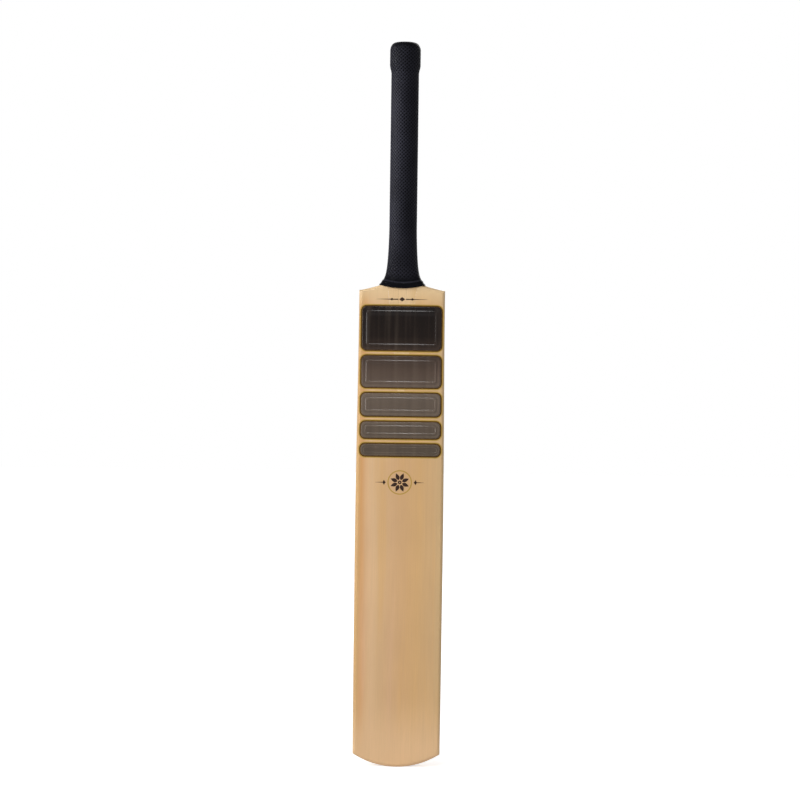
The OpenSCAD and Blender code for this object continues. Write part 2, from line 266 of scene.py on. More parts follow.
def add_piece(name, points, faces, material, smooth_angle=SMOOTH_ANGLE, raised=None):
    """A new mesh piece that rides on the bat, smooth apart from edges sharper than the angle.

    raised says how far each point stands up from the grooves around it, from 0 to 1, for the materials to
    paint shade and highlights by. On the grip's bead it holds a painted highlight line instead.
    """
    mesh = bpy.data.meshes.new(name)
    mesh.from_pydata([tuple(p) for p in points], [], faces)
    mesh.shade_smooth()
    mesh.set_sharp_from_angle(angle=smooth_angle)
    mesh.materials.append(material)
    if raised is not None:
        mesh.attributes.new("raised", "FLOAT", "POINT").data.foreach_set("value", raised)
    piece = bpy.data.objects.new(name, mesh)
    bpy.context.scene.collection.objects.link(piece)
    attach(piece, "root")
    return piece


def grid_faces(rows, columns):
    """Quads between closed rings of points that run anticlockwise seen from above, listed upwards."""
    return [
        (low + i, low + (i + 1) % columns, low + columns + (i + 1) % columns, low + columns + i)
        for low in range(0, (rows - 1) * columns, columns)
        for i in range(columns)
    ]


# The willow blade

SIDE_COLUMNS = 46
SLOT_COLUMNS = 4
TOE_ROWS = 44
BODY_ROWS = 84
SPLICE_ROWS = 28
EDGE_ROWS = 20
SHOULDER_ROWS = 26
NECK_ROWS = 60
LEFT_HORN = range(SIDE_COLUMNS)
RIGHT_HORN = range(SIDE_COLUMNS + 1, 2 * SIDE_COLUMNS + 1)


def blade_levels():
    """Heights of the blade's sections below and above the floor of the splice's slot."""
    toe = [toe_z(x) for x in spaced(TOE_FLAT_W / 2, TOE_W / 2, TOE_ROWS)]
    edge_z = BLADE_L - 2 * FACE_R
    lower = toe + spaced(TOE_SIDE_Z, TIP_Z - GLUE_LINE, BODY_ROWS)
    upper = spaced(TIP_Z, edge_z, SPLICE_ROWS) + spaced(edge_z, BLADE_L, EDGE_ROWS)
    upper += [shoulder_z(width / 2) for width in spaced(SHOULDER_W, NECK_W, SHOULDER_ROWS)]
    upper += [z for z in spaced(NECK_Z, HANDLE_Z, NECK_ROWS) if half_at(z) > slot_half(z) + FACE_R / 8]
    return lower + [TIP_Z - GLUE_LINE], upper


def side_columns(z):
    """Places across the right half, closest together at the outer edge."""
    half, slot = half_at(z), slot_half(z)
    angles = [SIDE_ANGLE * i / SIDE_COLUMNS for i in range(SIDE_COLUMNS + 1)]
    return [slot + (half - slot) * math.sin(a) / math.sin(SIDE_ANGLE) for a in angles]


def blade_sections(heights):
    """The points of all sections, and the numbers of each section's face and back points."""
    points, levels = [], []
    for z in heights:
        right = side_columns(z)
        left = [-x for x in reversed(right)]
        slot = spaced(left[-1], right[0], SLOT_COLUMNS)[1:] if z < TIP_Z else []
        xs = left + slot + right
        rows = []
        for side in (-1, 1):
            first = len(points)
            points.extend((x, surface_y(x, z, side), z) for x in xs)
            rows.append(list(range(first, len(points))))
        levels.append(tuple(rows))
    return points, levels


def sheet_faces(low, high, run):
    """Quads of the face and the back between two sections, along a run of columns."""
    faces = [(low[0][i], low[0][i + 1], high[0][i + 1], high[0][i]) for i in run]
    return faces + [(high[1][i], high[1][i + 1], low[1][i + 1], low[1][i]) for i in run]


def wall_face(low, high, i, side):
    """The quad from face to back between two sections at a column: side 1 looks right and -1 left."""
    quad = (low[0][i], low[1][i], high[1][i], high[0][i])
    return quad if side > 0 else quad[::-1]


def level_faces(level, run, side):
    """Quads that close a section along a run of columns: side 1 looks up and -1 down."""
    quads = [(level[0][i], level[0][i + 1], level[1][i + 1], level[1][i]) for i in run]
    return quads if side > 0 else [quad[::-1] for quad in quads]


def body_faces(levels):
    """Faces from the toe to the floor of the splice's slot."""
    last = len(levels[0][0]) - 1
    faces = []
    for low, high in zip(levels, levels[1:]):
        faces += sheet_faces(low, high, range(last))
        faces += [wall_face(low, high, 0, -1), wall_face(low, high, last, 1)]
    faces += level_faces(levels[0], range(last), -1)
    return faces + level_faces(levels[-1], range(SIDE_COLUMNS, SIDE_COLUMNS + SLOT_COLUMNS), 1)


def horn_faces(levels):
    """Faces of the two horns beside the slot, up to their ends on the neck."""
    walls = ((0, -1), (SIDE_COLUMNS, 1), (SIDE_COLUMNS + 1, -1), (2 * SIDE_COLUMNS + 1, 1))
    faces = []
    for low, high in zip(levels, levels[1:]):
        for run in (LEFT_HORN, RIGHT_HORN):
            faces += sheet_faces(low, high, run)
        faces += [wall_face(low, high, i, side) for i, side in walls]
    return faces + level_faces(levels[-1], LEFT_HORN, 1) + level_faces(levels[-1], RIGHT_HORN, 1)


def build_blade(material):
    lower, upper = blade_levels()
    points, levels = blade_sections(lower + upper)
    body, horns = levels[: len(lower)], levels[len(lower) :]
    # The horns stand on the outer columns of the slot's floor
    after_slot = SIDE_COLUMNS + SLOT_COLUMNS
    foot = tuple(row[: SIDE_COLUMNS + 1] + row[after_slot:] for row in body[-1])
    faces = body_faces(body) + horn_faces([foot] + horns)
    blade = add_piece("blade_willow", points, faces, material)
    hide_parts("blade")


# The rubber grip

RING_POINTS = TEXTURE_CELLS * POINTS_PER_CELL
RING_ANGLES = [2 * math.pi * i / RING_POINTS for i in range(RING_POINTS)]
ROW_STEP = 2 * math.pi * GRIP_R / RING_POINTS
COLLAR_STEPS = 120
SLOPE_STEPS = 20
CAP_STEPS = 32
LIP_STEPS = 5
LIP_R = CAP_T / 4
BORE_RING_Z = BAT_L - BAT_L / 8
COLLAR_INSIDE_ROWS = 24


def round_ring(r, z):
    """A level circle about the handle's axis that starts at the back and runs anticlockwise."""
    return np.array([(-r * math.sin(t), AXIS_Y + r * math.cos(t), z) for t in RING_ANGLES])


def collar_ring(share, offset):
    """A ring round the neck at a share of the collar's height, offset from the willow."""
    found = []
    for side in (-1, 1):
        for i in range(COLLAR_STEPS + 1):
            a = -side * mix(-SIDE_ANGLE, SIDE_ANGLE, i / COLLAR_STEPS)
            z = mix(NECK_Z + COLLAR_GAP - RIM_DIP * math.cos(a) ** 2, HANDLE_Z, share)
            x = half_at(max(z, NECK_Z)) * math.sin(a) / math.sin(SIDE_ANGLE)
            y = surface_y(x, z, side)
            found.append((x + offset * math.sin(a), y + side * offset * math.cos(a), z))
    ring = np.array(found)
    turn = np.arctan2(-ring[:, 0], ring[:, 1] - AXIS_Y) % (2 * math.pi)
    order = np.argsort(turn)
    columns = [
        np.interp(RING_ANGLES, turn[order], ring[order, axis], period=2 * math.pi)
        for axis in range(3)
    ]
    return np.stack(columns, axis=1)


def bead_at(share):
    """Height of the collar's bead, from 0 to 1 on its crest."""
    return max(0.0, 1 - ((share * NECK_H - BEAD_RISE) / (BEAD_W / 2)) ** 2)


def bead_painted_highlight(share):
    """A painted highlight: the lighter line along the upper flank of the bead, from 0 to 1."""
    return max(0.0, 1 - ((share * NECK_H - BEAD_RISE - BEAD_W / 2) / (BEAD_W / 3)) ** 2)


def collar_offset(share):
    """How far the collar's outside stands off the willow, with its eased rim and its bead."""
    low = COLLAR_GAP + COLLAR_WALL - rounding(share * NECK_H, RIM_EASE) + BEAD_H * bead_at(share)
    return mix(low, GRIP_R - STEM_R, share**3)


def cuff_profile():
    """Radius and height along the outside from the top of the collar to the hole in the lip."""
    band_top = BAT_L - CAP_ROUND_H
    band_foot = band_top - CUFF_L
    slope_foot = band_foot - CUFF_SLOPE
    slope = [
        (mix(GRIP_R, CUFF_R, ease(t)), mix(slope_foot, band_foot, t)) for t in spaced(0, 1, SLOPE_STEPS)
    ]
    bend = 2 / CAP_POWER
    cap = [
        (CUFF_R - CAP_ROUND_W * (1 - math.cos(a) ** bend), band_top + CAP_ROUND_H * math.sin(a) ** bend)
        for a in spaced(0, math.pi / 2, CAP_STEPS)
    ]
    lip = [(CUFF_R - CAP_ROUND_W, BAT_L), (CAP_HOLE_R + LIP_R, BAT_L)]
    return [(GRIP_R, HANDLE_Z)] + slope + [(CUFF_R, band_foot)] + cap + lip


def even_profile(profile, step):
    """Points along a profile, a step apart."""
    line = np.array(profile)
    length = np.concatenate([[0], np.cumsum(np.linalg.norm(np.diff(line, axis=0), axis=1))])
    places = np.arange(step, length[-1], step)
    return np.stack([np.interp(places, length, line[:, i]) for i in (0, 1)], axis=1)


def texture_height(column, row):
    """Height of the moulded mesh at a grid point, from 0 in its diamond pits to 1 on its ribs."""
    rising = abs(((column + row) / POINTS_PER_CELL) % 1 - 0.5) * 2
    falling = abs(((column - row) / POINTS_PER_CELL) % 1 - 0.5) * 2
    return 1 - np.sqrt((1 - rising) * (1 - falling))


def outward(grid):
    """Unit normals of a grid of rings."""
    around = np.roll(grid, -1, axis=1) - np.roll(grid, 1, axis=1)
    up = np.gradient(grid, axis=0)
    normal = np.cross(around, up)
    return normal / np.linalg.norm(normal, axis=2, keepdims=True)


def texture_reach(rings, plain_rows):
    """Depth of the mesh at each ring, from 0 to 1: it fades out above the bead and over the cap."""
    reach = np.ones(len(rings))
    for row, ring in enumerate(rings):
        above = (row - plain_rows) / (2 * POINTS_PER_CELL)
        below = (BAT_L - CAP_ROUND_H / 3 - ring[0][2]) / (CAP_ROUND_H / 2)
        reach[row] = max(0.0, min(1.0, above, below))
    return reach


def inside_rings():
    """Rings of the lip, the bore and the inside of the collar, which close the sleeve."""
    bends = [math.pi / 2 * i / LIP_STEPS for i in range(LIP_STEPS + 1)]
    rings = [
        round_ring(CAP_HOLE_R + LIP_R * (1 - math.sin(a)), BAT_L - LIP_R * (1 - math.cos(a))) for a in bends
    ]
    rings += [round_ring(r, BAT_L - CAP_T) for r in (CAP_HOLE_R, BORE_R)]
    rings += [round_ring(BORE_R, z) for z in (BORE_RING_Z, HANDLE_Z)]
    return rings + [collar_ring(share, COLLAR_GAP) for share in spaced(1, 0, COLLAR_INSIDE_ROWS) + [0]]


def sleeve_faces(rows, reach, height):
    """Faces of the sleeve. Each textured quad is folded along the higher of its two diagonals."""
    faces = []
    for row in range(rows):
        after = (row + 1) % rows
        plain = after >= len(reach) or after == 0 or reach[row] == 0
        for column in range(RING_POINTS):
            beside = (column + 1) % RING_POINTS
            quad = [row * RING_POINTS + column, row * RING_POINTS + beside]
            quad += [after * RING_POINTS + beside, after * RING_POINTS + column]
            if plain:
                faces.append(tuple(quad))
                continue
            rising = height[row, column] + height[after, beside]
            falling = height[row, beside] + height[after, column]
            turn = 0 if rising > falling else 1
            a, b, c, d = quad[turn:] + quad[:turn]
            faces += [(a, b, c), (a, c, d)]
    return faces


def build_grip(material):
    smooth_rise = BEAD_RISE + BEAD_W
    plain_shares = [rise / NECK_H for rise in np.arange(0, smooth_rise, ROW_STEP / 2)]
    mesh_shares = [rise / NECK_H for rise in np.arange(smooth_rise, NECK_H, ROW_STEP)]
    rings = [collar_ring(share, collar_offset(share)) for share in plain_shares + mesh_shares]
    rings += [round_ring(r, z) for r, z in even_profile(cuff_profile(), ROW_STEP)]
    reach = texture_reach(rings, len(plain_shares))
    columns = np.arange(RING_POINTS)
    height = np.stack([texture_height(columns, row) for row in range(len(rings))])
    relief = TEXTURE_DEPTH * reach[:, None] * (height - height.mean())
    grid = np.stack(rings)
    grid = grid + outward(grid) * relief[:, :, None]
    whole = np.concatenate([grid, np.stack(inside_rings())])
    faces = sleeve_faces(len(whole), reach, height)
    # raised carries the rubber's painted shade in the pits and its painted highlight on the ribs
    raised = np.full((len(whole), RING_POINTS), PLAIN_RAISED)
    raised[: len(rings)] += reach[:, None] * (height - PLAIN_RAISED)
    # The bead's rows carry a painted highlight line in place of the texture's height
    for row, share in enumerate(plain_shares):
        raised[row] = mix(PLAIN_RAISED, 1.0, bead_painted_highlight(share))
    points = whole.reshape(-1, 3)
    grip = add_piece("grip_sleeve", points, faces, material, GRIP_SMOOTH_ANGLE, raised.ravel())
    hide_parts("grip")


# Labels and printed ornaments on the face

LABEL_CORNER_STEPS = 8
LABEL_EDGE_STEPS = 44
LABEL_COLUMNS = LABEL_EDGE_STEPS + 2 * LABEL_CORNER_STEPS
LABEL_ROWS = 8
LABEL_RIM_STEPS = 8
LABEL_LINE_STEPS = 16


def on_face(x, z, above):
    return (x, face_plain(x, z) - above, z)


def label_runs(box, inward):
    """Bottom and top edge of a label's rounded outline, from left to right, at a distance in from it."""
    low, high = box
    half_w = (high.x - low.x) / 2 - inward
    half_h = (high.z - low.z) / 2 - inward
    drawn_in = inward / 2 if inward > 0 else inward
    r = min(max(LABEL_R - drawn_in, LABEL_INNER_R), LABEL_ROUND * half_h)
    middle = (low.z + high.z) / 2
    bends = [math.pi / 2 * i / LABEL_CORNER_STEPS for i in range(LABEL_CORNER_STEPS + 1)]
    corner = [half_w - r * (1 - math.cos(a)) for a in bends]
    edge = spaced(r - half_w, half_w - r, LABEL_EDGE_STEPS)[1:]
    xs = [-x for x in corner] + edge + corner[::-1]
    falls = [half_h - rounding(half_w - abs(x), r) for x in xs]
    bottom = [(x, middle - fall) for x, fall in zip(xs, falls)]
    top = [(x, middle + fall) for x, fall in zip(xs, falls)]
    return bottom, top


def ridge(share):
    """Height of a straight-sided ridge with a rounded crest, from 0 to 1, across its width."""
    return (math.hypot(1, LABEL_CREST) - math.hypot(2 * share - 1, LABEL_CREST)) / (
        math.hypot(1, LABEL_CREST) - LABEL_CREST
    )


def label_profile(height):
    """Distance in from the border and height above the face, from the border to the flat field."""
    line = LABEL_RIM_W + LABEL_LINE_IN
    line_foot, line_end = line - LABEL_LINE_W / 2, line + LABEL_LINE_W / 2
    top = LABEL_T + LABEL_LINE_H
    rim = [
        (LABEL_RIM_W * (1 - math.cos(a)), mix(LABEL_BORDER_T, top, math.sin(a)))
        for a in spaced(0, math.pi / 2, LABEL_RIM_STEPS)
    ]
    groove = [
        (mix(LABEL_RIM_W, line_foot, t), mix(top, LABEL_T, t)) for t in spaced(0, 1, LABEL_RIM_STEPS)
    ]
    shares = [i / LABEL_LINE_STEPS for i in range(LABEL_LINE_STEPS + 1)]
    raised_line = [(mix(line_foot, line_end, t), mix(LABEL_T, top, ridge(t))) for t in shares]
    # On a low label the profile is narrowed to a third of the label's height
    share = min(1, height / 3 / line_end)
    return [(inward * share, above) for inward, above in [(0, 0)] + rim + groove + raised_line]


def label_ring(box, inward):
    """Rounded outline of a label at a distance in from its border, anticlockwise from the lower left."""
    bottom, top = label_runs(box, inward)
    shares = [i / LABEL_ROWS for i in range(1, LABEL_ROWS)]
    right = [(bottom[-1][0], mix(bottom[-1][1], top[-1][1], t)) for t in shares]
    left = [(bottom[0][0], mix(top[0][1], bottom[0][1], t)) for t in shares]
    return bottom + right + top[::-1] + left


def fill_ring(points, start, above, box, inward):
    """Quads that fill a label's ring of points row by row, seen from the front."""
    bottom, top = label_runs(box, inward)
    corner = start + LABEL_COLUMNS
    top_left = corner + LABEL_ROWS + LABEL_COLUMNS
    rows = [list(range(start, corner + 1))]
    for i in range(1, LABEL_ROWS):
        first = len(points)
        inner = list(zip(bottom, top))[1:-1]
        points += [on_face(low[0], mix(low[1], high[1], i / LABEL_ROWS), above) for low, high in inner]
        rows.append([top_left + LABEL_ROWS - i] + list(range(first, len(points))) + [corner + i])
    rows.append(list(range(top_left, corner + LABEL_ROWS - 1, -1)))
    return [
        (low[i], low[i + 1], high[i + 1], high[i])
        for low, high in zip(rows, rows[1:])
        for i in range(LABEL_COLUMNS)
    ]


def build_label(name, material):
    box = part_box(name)
    points = []
    profile = label_profile(box[1].z - box[0].z)
    for inward, above in profile:
        points += [on_face(x, z, LABEL_GLUE + above) for x, z in label_ring(box, inward)]
    ring = len(points) // len(profile)
    faces = grid_faces(len(profile), ring)
    inward, above = profile[-1]
    faces += fill_ring(points, len(points) - ring, LABEL_GLUE + above, box, inward)
    faces += [quad[::-1] for quad in fill_ring(points, 0, LABEL_GLUE, box, 0)]
    # The crests' heights carry the film's painted highlight
    crests = [max(0.0, above - LABEL_T) / LABEL_LINE_H for _, above in profile]
    raised = [crest for crest in crests for _ in range(ring)]
    raised += [0.0] * (len(points) - len(raised))
    piece_name = name.replace("face_label", "label_film")
    label = add_piece(piece_name, points, faces, material, LABEL_SMOOTH_ANGLE, raised)
    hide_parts(name)


def strip_solid(points, faces, first_edge, second_edge, low=0.0, high=PRINT_T, closed=False):
    """Adds a thin solid on the face between two edges, each a list of places across and up the face."""
    count = len(first_edge)
    start = len(points)
    for edge, above in ((first_edge, low), (second_edge, low), (second_edge, high), (first_edge, high)):
        points += [on_face(x, z, above) for x, z in edge]
    spans = count if closed else count - 1
    for i in range(spans):
        k = (i + 1) % count
        for side in range(4):
            other = (side + 1) % 4
            quad = [side * count + i, side * count + k, other * count + k, other * count + i]
            faces.append(tuple(start + corner for corner in quad))
    if not closed:
        faces.append(tuple(start + side * count for side in range(4)))
        faces.append(tuple(start + side * count + count - 1 for side in reversed(range(4))))


def build_print(name, material, draw):
    """A printed piece made of the thin solids that draw adds."""
    points, faces = [], []
    draw(points, faces)
    piece = add_piece(name, points, faces, material)
    recalculate_outside(piece)


def recalculate_outside(piece):
    """Turns all faces of a closed piece outwards."""
    shape = bmesh.new()
    shape.from_mesh(piece.data)
    bmesh.ops.recalc_face_normals(shape, faces=shape.faces)
    shape.to_mesh(piece.data)
    shape.free()


def draw_borders(points, faces, inner, outer):
    """A narrow printed border round each label, between two distances out from it."""
    for name in label_names:
        edges = []
        for inward in (-inner, -outer):
            bottom, top = label_runs(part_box(name), inward)
            edges.append(bottom + top[::-1])
        strip_solid(points, faces, edges[0], edges[1], closed=True)


def draw_outlines(points, faces):
    draw_borders(points, faces, GLUE_LINE, OUTLINE_W)


def draw_keylines(points, faces):
    draw_borders(points, faces, OUTLINE_W, KEYLINE_W)


# Materials: colours are hexadecimal, noise scales are features per metre and depths are in metres

# Across the blade, from its left edge to its right. The stop at the left edge is partly painted shade, darker
# against the side lamps' light on that edge.
WILLOW_BANDS = (
    (0.00, "bd945c"),
    (0.045, "c49159"),
    (0.09, "c79e71"),
    (0.13, "c9a479"),
    (0.17, "caa67c"),
    (0.26, "c5a074"),
    (0.36, "c59e72"),
    (0.50, "c39b6c"),
    (0.68, "c49c68"),
    (0.86, "c19d6f"),
    (0.97, "c3a374"),
    (1.00, "bb9b6a"),
)
WILLOW_AMBER = "c89c60"
WILLOW_ROSE = "cba27e"
WILLOW_TOE = "d4af84"
WILLOW_SHOULDER = "cbae83"
# Band above which the blade is painted darker: painted shade against the lamps' stronger light higher up
WILLOW_PAINTED_SHADE_Z = (0.22, 0.29)
WILLOW_TOE_Z = (0.09, 0.01)
WILLOW_SHOULDER_Z = (0.535, 0.56)
GRAIN_LEAN = 0.12
GRAIN_WANDER = 0.012
GROWTH_RING_W = 0.0127
FIBRE_DEPTH = 0.00006
GRAIN_DEPTH = 0.00005
TWINE_W = 0.0009
TWINE_DEPTH = 0.0003
SHEET_DEPTH = 0.00004
MOULD_DEPTH = 0.00003
# Factors on the rubber's colour: painted shade in the grip's pits and a painted highlight on its ribs
RUBBER_PIT_PAINTED_SHADE, RUBBER_RIB_PAINTED_HIGHLIGHT = 0.0, 2.4
# Up the labels, from the lowest to the highest
FILM_FADE = (
    (0.0, "51463b"),
    (0.4, "5d5147"),
    (0.56, "4f4138"),
    (0.68, "332720"),
    (0.8, "150b06"),
    (1.0, "0d0503"),
)
# Colour of the painted reflections in the film's streaks
FILM_PAINTED_REFLECTION = "50463d"
INK_DEPTH = 0.00002
INK_RELIEF = 0.4


def srgb(code):
    """A linear colour from a hexadecimal one."""
    shares = [int(code[i : i + 2], 16) / 255 for i in (0, 2, 4)]
    return [s / 12.92 if s <= 0.04045 else ((s + 0.055) / 1.055) ** 2.4 for s in shares] + [1.0]


class Shader:
    """A material under construction. place is a point of the surface in the bat's own frame."""

    def __init__(self, name):
        self.material = bpy.data.materials.new(name)
        self.material.use_nodes = True
        self.nodes = self.material.node_tree.nodes
        self.links = self.material.node_tree.links
        self.surface = self.nodes["Principled BSDF"]
        self.place = self.node("ShaderNodeTexCoord").outputs["Object"]

    def feed(self, socket, value):
        if isinstance(value, bpy.types.NodeSocket):
            self.links.new(value, socket)
        else:
            socket.default_value = value

    def node(self, kind, inputs=None, **settings):
        made = self.nodes.new(kind)
        for key, value in settings.items():
            setattr(made, key, value)
        for key, value in (inputs or {}).items():
            self.feed(made.inputs[key], value)
        return made

    def math(self, operation, *values):
        return self.node("ShaderNodeMath", dict(enumerate(values)), operation=operation).outputs[0]

    def raised(self):
        return self.node("ShaderNodeAttribute", attribute_name="raised").outputs["Fac"]

    def split(self):
        return self.node("ShaderNodeSeparateXYZ", {0: self.place}).outputs

    def noise(self, scale, detail=2.0, roughness=0.5):
        """Noise from 0 to 1, with a number of features per metre along each axis."""
        mapped = self.node("ShaderNodeMapping", {"Vector": self.place, "Scale": scale})
        inputs = {"Vector": mapped.outputs[0], "Scale": 1.0, "Detail": detail, "Roughness": roughness}
        return self.node("ShaderNodeTexNoise", inputs).outputs["Fac"]

    def span(self, value, low, high, to_low=0.0, to_high=1.0):
        """Maps a stretch of values to another and holds it at its ends."""
        inputs = {"Value": value, 1: low, 2: high, 3: to_low, 4: to_high}
        return self.node("ShaderNodeMapRange", inputs, interpolation_type="SMOOTHSTEP").outputs[0]

    def ramp(self, value, stops):
        made = self.node("ShaderNodeValToRGB", {0: value})
        elements = made.color_ramp.elements
        while len(elements) < len(stops):
            elements.new(1.0)
        for element, (place, colour) in zip(elements, stops):
            element.position = place
            element.color = srgb(colour)
        return made.outputs[0]

    def blend(self, share, first, second, kind="MIX"):
        made = self.node("ShaderNodeMix", data_type="RGBA", blend_type=kind, clamp_factor=True)
        for index, value in ((0, share), (6, first), (7, second)):
            self.feed(made.inputs[index], value)
        return made.outputs[2]

    def shade(self, colour, share, low, high):
        """Multiplies a colour by a factor that goes from low to high with share."""
        factor = self.span(share, 0.0, 1.0, low, high)
        grey = self.node("ShaderNodeCombineColor", {0: factor, 1: factor, 2: factor}).outputs[0]
        return self.blend(1.0, colour, grey, "MULTIPLY")

    def bump(self, height, distance, strength=1.0, under=None):
        inputs = {"Height": height, "Distance": distance, "Strength": strength}
        if under is not None:
            inputs["Normal"] = under
        return self.node("ShaderNodeBump", inputs).outputs[0]

    def finish(self, **inputs):
        for key, value in inputs.items():
            self.feed(self.surface.inputs[key.replace("_", " ")], value)
        return self.material


def willow_material():
    """Pale willow: broad straight growth bands, fine fibres and a thin satin sealer."""
    s = Shader("willow_oiled")
    x, y, z = s.split()
    wander = s.math("MULTIPLY", s.math("SUBTRACT", s.noise((7, 7, 2.5), 2.0), 0.5), GRAIN_WANDER)
    across = s.math("ADD", s.math("ADD", x, s.math("MULTIPLY", y, GRAIN_LEAN)), wander)
    place = s.node("ShaderNodeMapRange", {0: across, 1: -BLADE_W / 2, 2: BLADE_W / 2}).outputs[0]
    hue = s.noise((70, 70, 4), 3.0)
    colour = s.ramp(place, WILLOW_BANDS)
    colour = s.blend(s.span(hue, 0.52, 0.76, 0.0, 0.5), colour, srgb(WILLOW_AMBER))
    colour = s.blend(s.span(hue, 0.46, 0.24, 0.0, 0.4), colour, srgb(WILLOW_ROSE))
    # Painted shade: the upper blade is painted 3% darker against the lamps' stronger light there
    colour = s.shade(colour, s.span(z, *WILLOW_PAINTED_SHADE_Z), 1.0, 0.97)
    colour = s.blend(s.span(z, *WILLOW_TOE_Z, 0.0, 0.9), colour, srgb(WILLOW_TOE))
    colour = s.blend(s.span(z, *WILLOW_SHOULDER_Z, 0.0, 0.9), colour, srgb(WILLOW_SHOULDER))
    mottle = s.noise((24, 24, 9), 4.0)
    colour = s.shade(colour, mottle, 0.92, 1.08)
    ring = s.math("SINE", s.math("MULTIPLY", across, 2 * math.pi / GROWTH_RING_W))
    line = s.math("MULTIPLY", s.span(ring, 0.75, 1.0), s.span(mottle, 0.3, 0.7))
    colour = s.shade(colour, line, 1.0, 0.98)
    fibre = s.noise((1100, 1100, 16), 3.0, 0.6)
    colour = s.shade(colour, fibre, 0.94, 1.06)
    rough = s.span(fibre, 0.2, 0.8, 0.40, 0.52)
    relief = s.bump(fibre, FIBRE_DEPTH, 0.6)
    relief = s.bump(line, GRAIN_DEPTH, 0.4, relief)
    return s.finish(
        Base_Color=colour, Roughness=rough, Normal=relief, Coat_Weight=0.1, Coat_Roughness=0.35
    )


def cane_material():
    """Sanded cane: straight dark vessels in straw-coloured fibre, round dots on the end grain."""
    s = Shader("cane_sanded")
    tone = s.noise((60, 60, 3), 2.0)
    colour = s.ramp(tone, [(0.3, "c6a474"), (0.7, "cfb085")])
    mapped = s.node("ShaderNodeMapping", {"Vector": s.place, "Scale": (1300, 1300, 9)}).outputs[0]
    cells = s.node("ShaderNodeTexVoronoi", {"Vector": mapped, "Scale": 1.0}).outputs["Distance"]
    vessel = s.span(cells, 0.34, 0.12)
    colour = s.blend(s.math("MULTIPLY", vessel, 0.25), colour, srgb("96734a"))
    fibre = s.noise((1800, 1800, 30), 2.0)
    colour = s.shade(colour, fibre, 0.94, 1.06)
    relief = s.bump(vessel, -GRAIN_DEPTH, 0.6)
    return s.finish(Base_Color=colour, Roughness=s.span(tone, 0, 1, 0.45, 0.58), Normal=relief)


def spring_material():
    """Thin sheet rubber with a dusty grain."""
    s = Shader("spring_rubber_sheet")
    grain = s.noise((900, 900, 900), 3.0)
    colour = s.ramp(grain, [(0.3, "2e2824"), (0.7, "443c36")])
    relief = s.bump(grain, SHEET_DEPTH, 0.7)
    return s.finish(Base_Color=colour, Roughness=0.8, Normal=relief, Specular_IOR_Level=0.3)


def twine_material():
    """Waxed twine in close turns."""
    s = Shader("twine_waxed")
    z = s.split()["Z"]
    turn = s.math("ABSOLUTE", s.math("SINE", s.math("MULTIPLY", z, math.pi / TWINE_W)))
    strand = s.noise((500, 500, 2500), 3.0)
    # Painted shade in the grooves between the turns and a painted highlight on their crowns
    colour = s.ramp(turn, [(0.0, "4a3320"), (0.5, "9a7044"), (1.0, "b58a58")])
    colour = s.shade(colour, strand, 0.8, 1.15)
    relief = s.bump(turn, TWINE_DEPTH, 0.9)
    return s.finish(Base_Color=colour, Roughness=0.6, Normal=relief)


def rubber_material():
    """Black moulded rubber with painted shade in its pits, a painted highlight on its ribs and along the
    bead, and shinier on the collar's rim.
    """
    s = Shader("grip_rubber_black")
    z = s.split()["Z"]
    cloud = s.noise((45, 45, 25), 4.0)
    grain = s.noise((2600, 2600, 2600), 2.0)
    colour = s.ramp(cloud, [(0.3, "0e0e12"), (0.7, "15151a")])
    colour = s.shade(colour, grain, 0.85, 1.15)
    # Painted shade in the pits, and a painted highlight on the ribs and the bead's line, by the raised
    # attribute
    colour = s.shade(colour, s.raised(), RUBBER_PIT_PAINTED_SHADE, RUBBER_RIB_PAINTED_HIGHLIGHT)
    smooth_band = s.span(z, NECK_Z + BEAD_RISE + BEAD_W, NECK_Z + BEAD_RISE)
    rough = s.math("SUBTRACT", s.span(cloud, 0, 1, 0.28, 0.36), s.math("MULTIPLY", smooth_band, 0.10))
    relief = s.bump(grain, MOULD_DEPTH, 0.5)
    return s.finish(Base_Color=colour, Roughness=rough, Normal=relief, Specular_IOR_Level=0.02)


def film_material():
    """Glossy embossed film that fades from brown-black at the top to taupe below, with painted reflections in
    vertical streaks and a painted highlight on its crests.
    """
    s = Shader("label_film_gloss")
    z = s.split()["Z"]
    low = min(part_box(name)[0].z for name in label_names)
    high = max(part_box(name)[1].z for name in label_names)
    rise = s.node("ShaderNodeMapRange", {0: z, 1: low, 2: high}).outputs[0]
    fade = s.ramp(rise, FILM_FADE)
    reflection_streak = s.noise((110, 20, 4), 2.0, 0.5)
    # Painted reflections: vertical streaks painted lighter; the roughness follows the same streaks
    colour = s.shade(fade, reflection_streak, 0.75, 1.25)
    colour = s.blend(s.span(reflection_streak, 0.48, 0.75, 0.0, 0.25), colour, srgb(FILM_PAINTED_REFLECTION))
    # Painted highlight: the crests of the rim and the raised line are painted lighter
    colour = s.shade(colour, s.raised(), 1.0, 1.25)
    rough = s.span(reflection_streak, 0.2, 0.8, 0.10, 0.16)
    orange_peel = s.noise((350, 350, 350), 2.0)
    relief = s.bump(orange_peel, MOULD_DEPTH, 0.35)
    return s.finish(Base_Color=colour, Roughness=rough, Normal=relief, Specular_IOR_Level=0.13)


def gold_material():
    """Matt gold printing ink."""
    s = Shader("print_gold")
    grain = s.noise((2200, 2200, 2200), 2.0)
    colour = s.ramp(grain, [(0.3, "9b7b38"), (0.7, "b39349")])
    relief = s.bump(grain, INK_DEPTH, INK_RELIEF)
    return s.finish(Base_Color=colour, Roughness=0.42, Normal=relief, Metallic=0.15, Specular_IOR_Level=0.2)


